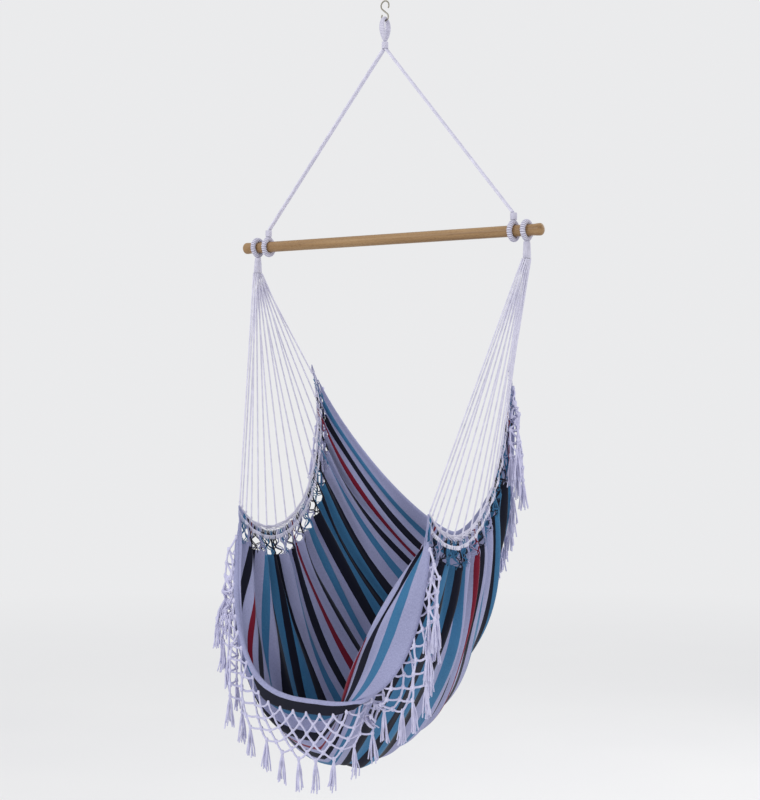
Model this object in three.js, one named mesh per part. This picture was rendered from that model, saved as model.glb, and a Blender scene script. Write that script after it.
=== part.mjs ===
import * as THREE from "three";

// A hanging hammock chair: an S-hook, a whipped rope yoke, a turned wooden spreader bar and a
// striped cloth seat that hangs from the bar by two fans of cotton strings.
// Millimetres, +Z up. X runs along the spreader bar and the sitter faces -Y.
// The origin is where a ceiling ring bears on the inside of the S-hook's upper bend.

// ---- driving dimensions ----

const GAP = 0.3; // between pieces that touch on the real object

const HOOK_WIRE_R = 2;
const HOOK_UPPER_R = 13; // to the middle of the wire
const HOOK_LOWER_R = 11;
const HOOK_LOWER_DROP = 31; // from the centre of the upper bend to that of the lower one

const EYE_HALF_WIDTH = 18; // of the rope's middle line, fore and aft
const EYE_LENGTH = 60; // of the rope's middle line, top to bottom
const EYE_ROPE_R = 5;
const EYE_CHEEK_R = 9; // half the rope's width where its wrapping spreads, down the sides

const YOKE_WHIP_R = 9.5;
const YOKE_WHIP_HEIGHT = 18;
const LEG_CORD_R = 2.5;
const LEG_CORD_SPACING = 5.3;

const BAR_LENGTH = 1000;
const BAR_R = 15;
const BAR_END_R = 16.2;
const BAR_Z = -655;

const LOOP_ROPE_R = 7;
const YOKE_LOOP_X = 410;
const SEAT_LOOP_X = 450;
const LOOP_WHIP_R = 9.5;
const YOKE_LOOP_WHIP_HEIGHT = 18;
const SEAT_LOOP_WHIP_HEIGHT = 43;
const FAN_HALF_X = 8.5; // the foot of the seat loop's whipping, where the strings come out
const FAN_HALF_Y = 16;

const STRINGS = 16; // on each side
const STRING_R = 2.2;
const STRING_ROWS = 3;
const STRING_ROW_SPACING = 5.2;
const STRING_STEP = 1.75;
const STRING_CROWDING = 1.55; // above 1, the strings crowd towards the front corner
const STRING_END_GAP = 16; // the knot between a string and the warp threads that it holds

const CLOTH_THICKNESS = 3;
const OPENWORK = 70; // bare warp between the string ends and the woven cloth
const SEAM_GAP = 4; // between the openwork and the cloth, whose edges lean a little differently
const CLOTH_WARP_STEPS = 28;
const CLOTH_WEFT_STEPS = 22;

const FRINGE_DEPTH = 220;
const FRINGE_THICKNESS = 3;
const FRINGE_STAND_OFF = 7;
const FRONT_STAND_OFF = 24; // the front fringe hangs clear of the cloth's forward swell
const FRONT_SPREAD = 24; // and outwards, clear of the slack left side
const FRINGE_STEPS = 24;

// The string-end line runs from the front corner of the cloth to its back corner, measured from
// the middle of the bar. The centre line of the seat runs under it from front rim to back rim.
// An empty seat hangs a little askew: behind the front rim its lowest point lies to one side.
const STRING_END_LINE = bezier([
  [310, -254, -732],
  [310, -93, -930],
  [286, 172, -730],
  [335, 105, -337],
]);
const SEAT_CENTRE_LINE = bezier([
  [0, -278, -1235],
  [-170, -278, -1580],
  [0, 502, -1570],
  [0, 347, -835],
]);

// How square the hanging curve of a warp thread is, from the front rim to the back rim: 2 is an
// ellipse, less comes to a narrower bottom and more to a flatter one. The slack front rim hangs
// wide and flat. Just behind it the right half is pulled almost straight and the left is slack.
const SQUARENESS_LEFT = [3.6, 2.6, 2.3, 1.9, 1.7, 1.6, 1.55, 1.5, 1.45];
const SQUARENESS_RIGHT = [2.5, 1.06, 1.2, 1.45, 1.6, 1.6, 1.55, 1.5, 1.45];

const WING_SWELL = 70; // how far the cloth behind the front rim swells forwards, halfway down
const WING_SHARE = 0.3; // the share of the cloth's width that swells
const LEFT_SWELL = 0.3; // the left side hangs slack and swells less

const COTTON = "#e4e2e9";
const materials = {
  steel: new THREE.MeshStandardMaterial({ color: "#8d9094", roughness: 0.35, metalness: 1 }),
  rope: new THREE.MeshStandardMaterial({ color: COTTON, roughness: 0.9, metalness: 0 }),
  beech: new THREE.MeshStandardMaterial({ color: "#b98a4e", roughness: 0.45, metalness: 0 }),
  cloth: new THREE.MeshStandardMaterial({ color: "#4f7186", roughness: 0.95, metalness: 0 }),
  openwork: new THREE.MeshStandardMaterial({ color: "#b9bdc6", roughness: 0.95, metalness: 0 }),
  fringe: new THREE.MeshStandardMaterial({ color: COTTON, roughness: 0.95, metalness: 0 }),
};

const model = new THREE.Group();

function bezier(points) {
  return new THREE.CubicBezierCurve3(...points.map((p) => new THREE.Vector3(...p)));
}

function add(name, geometry, material) {
  const mesh = new THREE.Mesh(geometry, material);
  mesh.name = name;
  model.add(mesh);
  return mesh;
}

// ---- closed bodies from rings and sheets of points ----

function closedBody(points, faces) {
  let volume = 0;
  const cross = new THREE.Vector3();
  for (const [a, b, c] of faces) {
    volume += points[a].dot(cross.crossVectors(points[b], points[c]));
  }
  const outward = volume > 0 ? faces : faces.map(([a, b, c]) => [a, c, b]);
  const geometry = new THREE.BufferGeometry().setFromPoints(points);
  geometry.setIndex(outward.flat());
  geometry.computeVertexNormals();
  return geometry;
}

// Rings of equal length, joined one to the next and the last to the first.
function closedLoft(rings) {
  const sides = rings[0].length;
  const faces = [];
  for (let i = 0; i < rings.length; i++) {
    const here = i * sides;
    const next = ((i + 1) % rings.length) * sides;
    for (let j = 0; j < sides; j++) {
      const k = (j + 1) % sides;
      faces.push([here + j, here + k, next + k], [here + j, next + k, next + j]);
    }
  }
  return closedBody(rings.flat(), faces);
}

// A sheet of points, rows by columns, thickened by half its thickness to each side.
function shell(rows, thickness) {
  const height = rows.length;
  const width = rows[0].length;
  const sheetPoints = rows.length * width;
  const above = [];
  const below = [];
  for (let i = 0; i < height; i++) {
    for (let j = 0; j < width; j++) {
      const along = rows[Math.min(i + 1, height - 1)][j].clone().sub(rows[Math.max(i - 1, 0)][j]);
      const across = rows[i][Math.min(j + 1, width - 1)].clone().sub(rows[i][Math.max(j - 1, 0)]);
      const normal = along.cross(across).normalize();
      above.push(rows[i][j].clone().addScaledVector(normal, thickness / 2));
      below.push(rows[i][j].clone().addScaledVector(normal, -thickness / 2));
    }
  }
  const faces = [];
  for (let i = 0; i + 1 < height; i++) {
    for (let j = 0; j + 1 < width; j++) {
      const a = i * width + j;
      const b = a + 1;
      const c = a + width + 1;
      const d = a + width;
      faces.push([a, b, c], [a, c, d]);
      faces.push([a + sheetPoints, c + sheetPoints, b + sheetPoints]);
      faces.push([a + sheetPoints, d + sheetPoints, c + sheetPoints]);
    }
  }
  for (const [a, b] of edgeLoop(height, width)) {
    faces.push([b, a, a + sheetPoints], [b, a + sheetPoints, b + sheetPoints]);
  }
  return closedBody([...above, ...below], faces);
}

// The border of a sheet of points, as pairs of neighbours going round it one way.
function edgeLoop(height, width) {
  const border = [];
  for (let j = 0; j < width - 1; j++) border.push(j);
  for (let i = 0; i < height - 1; i++) border.push(i * width + width - 1);
  for (let j = width - 1; j > 0; j--) border.push((height - 1) * width + j);
  for (let i = height - 1; i > 0; i--) border.push(i * width);
  return border.map((point, index) => [point, border[(index + 1) % border.length]]);
}

// A straight round rod between two points.
function rod(start, end, radius) {
  const direction = end.clone().sub(start);
  const geometry = new THREE.CylinderGeometry(radius, radius, direction.length(), 8, 1);
  const turn = new THREE.Quaternion();
  turn.setFromUnitVectors(new THREE.Vector3(0, 1, 0), direction.clone().normalize());
  geometry.applyQuaternion(turn);
  const middle = start.clone().lerp(end, 0.5);
  geometry.translate(middle.x, middle.y, middle.z);
  return geometry;
}

// ---- S-hook ----

// The wire goes over the upper bend, slants across, and goes round the lower bend. The upper
// bend opens towards +X and the lower one towards -X.
class HookWire extends THREE.Curve {
  constructor() {
    super();
    const slant = Math.acos((HOOK_UPPER_R + HOOK_LOWER_R) / HOOK_LOWER_DROP);
    const tip = Math.PI / 6;
    const upperCentre = -(HOOK_UPPER_R - HOOK_WIRE_R);
    this.upper = { z: upperCentre, r: HOOK_UPPER_R, from: -tip, to: 1.5 * Math.PI - slant };
    this.lower = {
      z: upperCentre - HOOK_LOWER_DROP,
      r: HOOK_LOWER_R,
      from: Math.PI / 2 - slant,
      to: -Math.PI - tip,
    };
    this.upperLength = this.upper.r * (this.upper.to - this.upper.from);
    this.lowerLength = this.lower.r * (this.lower.from - this.lower.to);
    this.slantLength = this.onBend(this.upper, 1).distanceTo(this.onBend(this.lower, 0));
  }

  onBend(bend, t) {
    const angle = bend.from + (bend.to - bend.from) * t;
    return new THREE.Vector3(bend.r * Math.cos(angle), 0, bend.z + bend.r * Math.sin(angle));
  }

  getPoint(t) {
    const length = t * (this.upperLength + this.slantLength + this.lowerLength);
    if (length <= this.upperLength) {
      return this.onBend(this.upper, length / this.upperLength);
    }
    const past = length - this.upperLength;
    if (past >= this.slantLength) {
      return this.onBend(this.lower, (past - this.slantLength) / this.lowerLength);
    }
    return this.onBend(this.upper, 1).lerp(this.onBend(this.lower, 0), past / this.slantLength);
  }
}

const hookWire = new HookWire();
const hookSection = new THREE.Shape().absarc(0, 0, HOOK_WIRE_R, 0, 2 * Math.PI);
add(
  "s_hook",
  new THREE.ExtrudeGeometry(hookSection, { steps: 44, extrudePath: hookWire, curveSegments: 5 }),
  materials.steel,
);
const hookSeat = hookWire.lower.z - HOOK_LOWER_R; // middle of the wire the rope hangs on

// ---- rope eye: a wrapped loop that hangs in the hook's lower bend ----

const eyeTop = hookSeat + HOOK_WIRE_R + GAP + EYE_ROPE_R;
const eyeBottom = eyeTop - EYE_LENGTH;

// The eye narrows to its foot, so it is a pear-shaped loop in the fore-and-aft plane.
function eyeRing(turn) {
  const lift = Math.cos(turn);
  const width = EYE_HALF_WIDTH * (0.78 + 0.22 * lift);
  const middle = new THREE.Vector3(0, width * Math.sin(turn), (eyeTop + eyeBottom) / 2);
  middle.z += (EYE_LENGTH / 2) * lift;
  const outward = new THREE.Vector3(0, (EYE_LENGTH / 2) * Math.sin(turn), width * lift).normalize();
  const cheek = EYE_ROPE_R + (EYE_CHEEK_R - EYE_ROPE_R) * Math.sin(turn) ** 2;
  const ring = [];
  for (let side = 0; side < 10; side++) {
    const angle = (side / 10) * 2 * Math.PI;
    const point = middle.clone().addScaledVector(outward, EYE_ROPE_R * Math.cos(angle));
    point.x += cheek * Math.sin(angle);
    ring.push(point);
  }
  return ring;
}

const eyeRings = [];
for (let i = 0; i < 32; i++) eyeRings.push(eyeRing((i / 32) * 2 * Math.PI));
add("rope_eye", closedLoft(eyeRings), materials.rope);

// ---- whippings: tight windings that hold a bundle of cords together ----

// A round-edged winding from one height to another, with its own half widths at its foot.
function whipping(x, top, bottom, topR, bottomHalfX, bottomHalfY) {
  const edge = 2;
  const levels = [
    [top, 0.8],
    [top - edge, 1],
    [bottom + edge, 1],
    [bottom, 0.9],
  ];
  const rings = levels.map(([z, fullness]) => {
    const down = (top - z) / (top - bottom);
    const halfX = (topR + (bottomHalfX - topR) * down) * fullness;
    const halfY = (topR + (bottomHalfY - topR) * down) * fullness;
    const ring = [];
    for (let side = 0; side < 16; side++) {
      const angle = (side / 16) * 2 * Math.PI;
      ring.push(new THREE.Vector3(x + halfX * Math.cos(angle), halfY * Math.sin(angle), z));
    }
    return ring;
  });
  return cappedLoft(rings);
}

// Rings of equal length, joined one to the next, with a flat cap at each end.
function cappedLoft(rings) {
  const sides = rings[0].length;
  const points = rings.flat();
  const faces = [];
  for (let i = 0; i + 1 < rings.length; i++) {
    for (let j = 0; j < sides; j++) {
      const k = (j + 1) % sides;
      const here = i * sides;
      const next = here + sides;
      faces.push([here + j, here + k, next + k], [here + j, next + k, next + j]);
    }
  }
  const last = (rings.length - 1) * sides;
  const head = points.push(middleOf(rings[0])) - 1;
  const foot = points.push(middleOf(rings[rings.length - 1])) - 1;
  for (let j = 0; j < sides; j++) {
    const k = (j + 1) % sides;
    faces.push([head, k, j], [foot, last + j, last + k]);
  }
  return closedBody(points, faces);
}

function middleOf(ring) {
  const sum = new THREE.Vector3();
  for (const point of ring) sum.add(point);
  return sum.divideScalar(ring.length);
}

const yokeWhipTop = eyeBottom - EYE_ROPE_R - GAP;
const yokeWhipBottom = yokeWhipTop - YOKE_WHIP_HEIGHT;
add(
  "eye_whipping",
  whipping(0, yokeWhipTop, yokeWhipBottom, YOKE_WHIP_R, YOKE_WHIP_R, YOKE_WHIP_R),
  materials.rope,
);

// ---- spreader bar ----

function barProfile() {
  const half = BAR_LENGTH / 2;
  const swell = 22; // length of each swollen end
  const end = [];
  for (let i = 0; i <= 5; i++) {
    const turn = (i / 5) * (Math.PI / 2);
    end.push([BAR_END_R * Math.cos(turn), half - 10 + 10 * Math.sin(turn)]);
  }
  end[5][0] = 0;
  const top = [[BAR_R, half - swell - 8], [BAR_R + 0.5, half - swell], ...end];
  const bottom = top.map(([r, y]) => [r, -y]).reverse();
  return [...bottom, ...top].map(([r, y]) => new THREE.Vector2(r, y));
}

const bar = new THREE.LatheGeometry(barProfile(), 28);
bar.rotateZ(-Math.PI / 2);
bar.translate(0, 0, BAR_Z);
add("spreader_bar", bar, materials.beech);

// ---- loops round the bar, leg cords and strings ----

const loopR = BAR_R + GAP + 0.1 + LOOP_ROPE_R;
const loopReach = loopR + LOOP_ROPE_R + GAP;

function barLoop(x) {
  const loop = new THREE.TorusGeometry(loopR, LOOP_ROPE_R, 8, 24);
  loop.rotateY(Math.PI / 2);
  loop.translate(x, 0, BAR_Z);
  return loop;
}

function legCords(side, sideName) {
  const legFoot = BAR_Z + loopReach + YOKE_LOOP_WHIP_HEIGHT;
  for (let i = -1; i <= 1; i++) {
    const start = new THREE.Vector3(side * 4.6, i * LEG_CORD_SPACING, yokeWhipBottom - 2.4);
    const end = new THREE.Vector3(side * (YOKE_LOOP_X - 3), i * LEG_CORD_SPACING, legFoot + 2.4);
    add(`leg_cord_${sideName}_${i + 2}`, rod(start, end, LEG_CORD_R), materials.rope);
  }
}

// A string starts in one of the staggered rows at the foot of the seat loop's whipping and runs
// straight to its place on the string-end line.
function stringStart(side, index) {
  const row = (index % STRING_ROWS) - (STRING_ROWS - 1) / 2;
  return new THREE.Vector3(
    side * SEAT_LOOP_X + row * STRING_ROW_SPACING,
    (index - (STRINGS - 1) / 2) * STRING_STEP,
    BAR_Z - loopReach - SEAT_LOOP_WHIP_HEIGHT,
  );
}

function stringEnd(side, index) {
  const share = ((index + 0.5) / STRINGS) ** STRING_CROWDING;
  return onStringEndLine(side, share);
}

function onStringEndLine(side, share) {
  const point = STRING_END_LINE.getPointAt(share);
  return new THREE.Vector3(side * point.x, point.y, point.z + BAR_Z);
}

function fanStrings(side, sideName) {
  for (let index = 0; index < STRINGS; index++) {
    const from = stringStart(side, index);
    const to = stringEnd(side, index);
    const direction = to.clone().sub(from).normalize();
    const start = from.clone().addScaledVector(direction, 1.6);
    const end = to.clone().addScaledVector(direction, -STRING_END_GAP);
    const number = String(index + 1).padStart(2, "0");
    add(`string_${sideName}_${number}`, rod(start, end, STRING_R), materials.rope);
  }
}

// ---- seat cloth ----

function mixAlong(values, t) {
  const place = Math.min(t * (values.length - 1), values.length - 1.000001);
  const index = Math.floor(place);
  return values[index] + (values[index + 1] - values[index]) * (place - index);
}

// The power that turns a half circle into a hanging curve of the squareness at t.
function curvePower(squareness, t) {
  return mixAlong(squareness.map((value) => 2 / value), t);
}

// One warp thread of the cloth, which hangs from the left string-end line to the right one. t is
// the thread's place, from 0 at the front rim to 1 at the back rim.
function warpThread(t) {
  const end = STRING_END_LINE.getPointAt(t ** STRING_CROWDING);
  const centre = SEAT_CENTRE_LINE.getPointAt(t);
  const leftPower = curvePower(SQUARENESS_LEFT, t);
  const rightPower = curvePower(SQUARENESS_RIGHT, t);
  const swell = WING_SWELL * Math.sin(Math.PI * Math.min(t / WING_SHARE, 1)) ** 2;
  const fine = 160;
  const points = [];
  for (let i = 0; i <= fine; i++) {
    const turn = (i / fine - 0.5) * Math.PI;
    const power = turn < 0 ? leftPower : rightPower;
    const out = Math.sign(turn) * Math.abs(Math.sin(turn)) ** power;
    const drop = Math.max(Math.cos(turn), 0) ** power;
    const askew = centre.x * drop ** (turn < 0 ? 3 : 1);
    const x = end.x * out + askew;
    const forward = swell * (turn < 0 ? LEFT_SWELL : 1) * Math.sin(Math.PI * drop) ** 2;
    const y = end.y + (centre.y - end.y) * drop - forward;
    const z = end.z + (centre.z - end.z) * drop;
    points.push(new THREE.Vector3(x, y, z + BAR_Z));
  }
  return points;
}

// Points along a run of points, equally spaced between two distances from its start.
function spaced(points, from, to, count) {
  const reach = [0];
  for (let i = 1; i < points.length; i++) {
    reach.push(reach[i - 1] + points[i].distanceTo(points[i - 1]));
  }
  const found = [];
  let i = 1;
  for (let n = 0; n < count; n++) {
    const wanted = from + ((to - from) * n) / (count - 1);
    while (i < points.length - 1 && reach[i] < wanted) i++;
    const share = (wanted - reach[i - 1]) / (reach[i] - reach[i - 1]);
    found.push(points[i - 1].clone().lerp(points[i], share));
  }
  return found;
}

function lengthOf(points) {
  let length = 0;
  for (let i = 1; i < points.length; i++) length += points[i].distanceTo(points[i - 1]);
  return length;
}

// The warp threads from the front rim to the back rim, cut to one stretch of their length.
function clothSheet(stretch, warpSteps) {
  const rows = [];
  for (let i = 0; i <= CLOTH_WEFT_STEPS; i++) {
    const thread = warpThread(i / CLOTH_WEFT_STEPS);
    const [from, to] = stretch(lengthOf(thread));
    rows.push(spaced(thread, from, to, warpSteps + 1));
  }
  return rows;
}

function seatCloth() {
  const woven = clothSheet((length) => [OPENWORK, length - OPENWORK], CLOTH_WARP_STEPS);
  add("seat_cloth", shell(woven, CLOTH_THICKNESS), materials.cloth);
  const left = clothSheet(() => [0, OPENWORK - SEAM_GAP], 2);
  add("openwork_left", shell(left, CLOTH_THICKNESS), materials.openwork);
  const right = clothSheet((length) => [length - OPENWORK + SEAM_GAP, length], 2);
  add("openwork_right", shell(right, CLOTH_THICKNESS), materials.openwork);
}

// ---- fringes ----

// The front fringe hangs straight down off the front rim, just in front of it. Where the rim
// climbs to the corners, it hangs down along the outside of the rim.
function frontFringe() {
  const rim = warpThread(0);
  const length = lengthOf(rim);
  const top = spaced(rim, OPENWORK, length - OPENWORK, FRINGE_STEPS + 1);
  const rows = [0, 1 / 3, 2 / 3, 1].map((down) => top.map((point, index) => {
    const before = top[Math.max(index - 1, 0)];
    const after = top[Math.min(index + 1, FRINGE_STEPS)];
    const outward = new THREE.Vector3(after.z - before.z, 0, before.x - after.x).normalize();
    const fall = new THREE.Vector3(0.4 * outward.x, -0.15, -1).normalize();
    const fringe = point.clone().addScaledVector(fall, FRINGE_DEPTH * down);
    fringe.y -= FRONT_STAND_OFF;
    return fringe.addScaledVector(outward, FRONT_SPREAD);
  }));
  add("front_fringe", shell(rows, FRINGE_THICKNESS), materials.fringe);
}

// The back fringe hangs from the back rim and lies against the outside of the seat.
function backFringe() {
  const clothWidth = SEAT_CENTRE_LINE.getLength();
  const rows = [0, 1 / 3, 2 / 3, 1].map((down) => {
    const t = 1 - (FRINGE_DEPTH * down) / clothWidth;
    const thread = warpThread(t);
    const length = lengthOf(thread);
    const row = spaced(thread, OPENWORK, length - OPENWORK, FRINGE_STEPS + 1);
    const inner = spaced(warpThread(t - 0.02), OPENWORK, length - OPENWORK, FRINGE_STEPS + 1);
    return row.map((point, index) => {
      const before = row[Math.max(index - 1, 0)];
      const along = row[Math.min(index + 1, FRINGE_STEPS)].clone().sub(before);
      const outward = along.cross(inner[index].clone().sub(point)).normalize();
      return point.clone().addScaledVector(outward, FRINGE_STAND_OFF);
    });
  });
  add("back_fringe", shell(rows, FRINGE_THICKNESS), materials.fringe);
}

// ---- assembly of the yoke and the seat ----

for (const [side, sideName] of [[-1, "left"], [1, "right"]]) {
  legCords(side, sideName);
  add(`yoke_loop_${sideName}`, barLoop(side * YOKE_LOOP_X), materials.rope);
  const yokeTop = BAR_Z + loopReach + YOKE_LOOP_WHIP_HEIGHT;
  add(
    `yoke_loop_whipping_${sideName}`,
    whipping(side * YOKE_LOOP_X, yokeTop, BAR_Z + loopReach, LOOP_WHIP_R, LOOP_WHIP_R, LOOP_WHIP_R),
    materials.rope,
  );
  add(`seat_loop_${sideName}`, barLoop(side * SEAT_LOOP_X), materials.rope);
  const seatTop = BAR_Z - loopReach;
  const seatFoot = seatTop - SEAT_LOOP_WHIP_HEIGHT;
  add(
    `seat_loop_whipping_${sideName}`,
    whipping(side * SEAT_LOOP_X, seatTop, seatFoot, LOOP_WHIP_R, FAN_HALF_X, FAN_HALF_Y),
    materials.rope,
  );
  fanStrings(side, sideName);
}
seatCloth();
frontFringe();
backFringe();

export default model;
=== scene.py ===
import math

import bmesh
import bpy
import numpy as np
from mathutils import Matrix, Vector
from mathutils.bvhtree import BVHTree


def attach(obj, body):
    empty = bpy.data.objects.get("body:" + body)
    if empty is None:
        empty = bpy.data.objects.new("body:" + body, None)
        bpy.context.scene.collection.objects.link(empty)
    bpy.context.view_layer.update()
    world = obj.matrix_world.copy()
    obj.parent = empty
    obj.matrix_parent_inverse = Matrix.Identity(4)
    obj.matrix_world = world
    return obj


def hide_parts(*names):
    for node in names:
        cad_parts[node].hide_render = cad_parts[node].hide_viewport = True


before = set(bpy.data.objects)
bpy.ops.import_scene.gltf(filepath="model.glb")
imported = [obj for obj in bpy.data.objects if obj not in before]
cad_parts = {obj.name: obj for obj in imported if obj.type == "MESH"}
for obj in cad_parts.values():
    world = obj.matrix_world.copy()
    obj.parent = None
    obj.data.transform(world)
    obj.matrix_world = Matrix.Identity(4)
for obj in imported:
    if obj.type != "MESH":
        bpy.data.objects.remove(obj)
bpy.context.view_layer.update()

# A hanging hammock chair. Metres, +Z up, X along the spreader bar, the sitter faces -Y.
# The origin is where a ceiling ring bears inside the S-hook's upper bend.

# ---- the part's driving dimensions, as the CAD source has them ----

HOOK_WIRE_R = 0.002
HOOK_UPPER_R = 0.013
HOOK_LOWER_R = 0.011
HOOK_LOWER_DROP = 0.031
HOOK_UPPER_Z = -(HOOK_UPPER_R - HOOK_WIRE_R)
HOOK_LOWER_Z = HOOK_UPPER_Z - HOOK_LOWER_DROP
GAP = 0.0003             # between pieces that touch
EYE_ROPE_R = 0.005
EYE_CHEEK_R = 0.009
EYE_HALF_WIDTH = 0.018
EYE_LENGTH = 0.060
EYE_TOP = HOOK_LOWER_Z - HOOK_LOWER_R + HOOK_WIRE_R + GAP + EYE_ROPE_R
EYE_BOTTOM = EYE_TOP - EYE_LENGTH
EYE_WHIP_HEIGHT = 0.018
EYE_WHIP_TOP_Z = EYE_BOTTOM - EYE_ROPE_R - GAP
EYE_WHIP_FOOT_Z = EYE_WHIP_TOP_Z - EYE_WHIP_HEIGHT
BAR_Z = -0.655
BAR_LENGTH = 1.0
BAR_R = 0.015
BAR_END_R = 0.0162
LOOP_R = 0.0224
LOOP_ROPE_R = 0.007
YOKE_LOOP_X = 0.41
SEAT_LOOP_X = 0.45
LEG_CORD_R = 0.0025
LEG_CORD_SPACING = 0.0053
STRINGS = 16
STRING_R = 0.0022
STRING_CROWDING = 1.55
STRING_END_GAP = 0.016
OPENWORK = 0.070
STRING_END_LINE = ((0.310, -0.254, -0.732), (0.310, -0.093, -0.930),
                   (0.286, 0.172, -0.730), (0.335, 0.105, -0.337))
SEAT_CENTRE_LINE = ((0, -0.278, -1.235), (-0.170, -0.278, -1.580),
                    (0, 0.502, -1.570), (0, 0.347, -0.835))
SQUARENESS_LEFT = (3.6, 2.6, 2.3, 1.9, 1.7, 1.6, 1.55, 1.5, 1.45)
SQUARENESS_RIGHT = (2.5, 1.06, 1.2, 1.45, 1.6, 1.6, 1.55, 1.5, 1.45)
WING_SWELL = 0.070
WING_SHARE = 0.3
LEFT_SWELL = 0.3

DOWN = np.array([0.0, 0.0, -1.0])
ALONG_X = np.array([1.0, 0.0, 0.0])
UV_LAYER = "Cloth"
rng = np.random.default_rng(7)


# ---- small vector and mesh helpers ----

def unit(v):
    return v / np.maximum(np.linalg.norm(v, axis=-1, keepdims=True), 1e-12)


def smoothstep(x):
    x = np.clip(x, 0.0, 1.0)
    return x * x * (3 - 2 * x)


def full_turn(count):
    """Equally spaced angles once round, without the last."""
    return np.linspace(0, 2 * np.pi, count, endpoint=False)


def run_lengths(points):
    steps = np.linalg.norm(np.diff(points, axis=0), axis=1)
    return np.concatenate([[0.0], np.cumsum(steps)])


def at_lengths(points, wanted):
    reach = run_lengths(points)
    return np.stack([np.interp(wanted, reach, points[:, k]) for k in range(3)], axis=-1)


def resampled(points, count):
    points = np.asarray(points, float)
    return at_lengths(points, np.linspace(0, run_lengths(points)[-1], count))


def smooth_curve(knots, count):
    """A Catmull-Rom curve through the knots, as equally spaced points."""
    k = np.asarray(knots, float)
    k = np.concatenate([[2 * k[0] - k[1]], k, [2 * k[-1] - k[-2]]])
    t = np.linspace(0, 1, 12, endpoint=False)[:, None]
    found = []
    for a, b, c, d in zip(k, k[1:], k[2:], k[3:]):
        found.append(0.5 * (2 * b + (c - a) * t + (2 * a - 5 * b + 4 * c - d) * t ** 2
                            + (3 * b - a - 3 * c + d) * t ** 3))
    return resampled(np.concatenate(found + [[k[-2]]]), count)


def ring_tangents(points):
    """Unit tangents of a closed line."""
    return unit(np.roll(points, -1, axis=0) - np.roll(points, 1, axis=0))


def round_sections(points, tangents, sides):
    """A ring of unit vectors square to the path at each of its points, as (point, side, 3). The
    rings turn as little as possible along the path."""
    side = np.eye(3)[np.argmin(np.abs(tangents[0]))]
    first = np.zeros_like(points)
    for i, tangent in enumerate(tangents):
        side = side - tangent * side.dot(tangent)
        side = side / np.linalg.norm(side)
        first[i] = side
    second = np.cross(tangents, first)
    turn = full_turn(sides)
    return (first[:, None] * np.cos(turn)[None, :, None]
            + second[:, None] * np.sin(turn)[None, :, None])


def grid_faces(index, order=(0, 1, 2, 3)):
    """The four-cornered faces of a grid of point numbers; order says how each face goes round."""
    corners = [index[:-1, :-1], index[1:, :-1], index[1:, 1:], index[:-1, 1:]]
    return np.stack([corners[k] for k in order], -1).reshape(-1, 4).tolist()


def with_round_ends(path, radius):
    """Adds a few shrinking rings beyond each end of a tube, so that it ends rounded."""
    turns = np.array([0.35, 0.7, 0.95]) * np.pi / 2
    shrink = np.cos(turns)

    def beyond(end, inner, end_radius):
        away = (end - inner) / np.linalg.norm(end - inner)
        return end + away * (end_radius * 0.8 * np.sin(turns))[:, None]

    head = beyond(path[0], path[1], radius[0])
    foot = beyond(path[-1], path[-2], radius[-1])
    return (np.concatenate([head[::-1], path, foot]),
            np.concatenate([radius[0] * shrink[::-1], radius, radius[-1] * shrink]))


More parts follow.
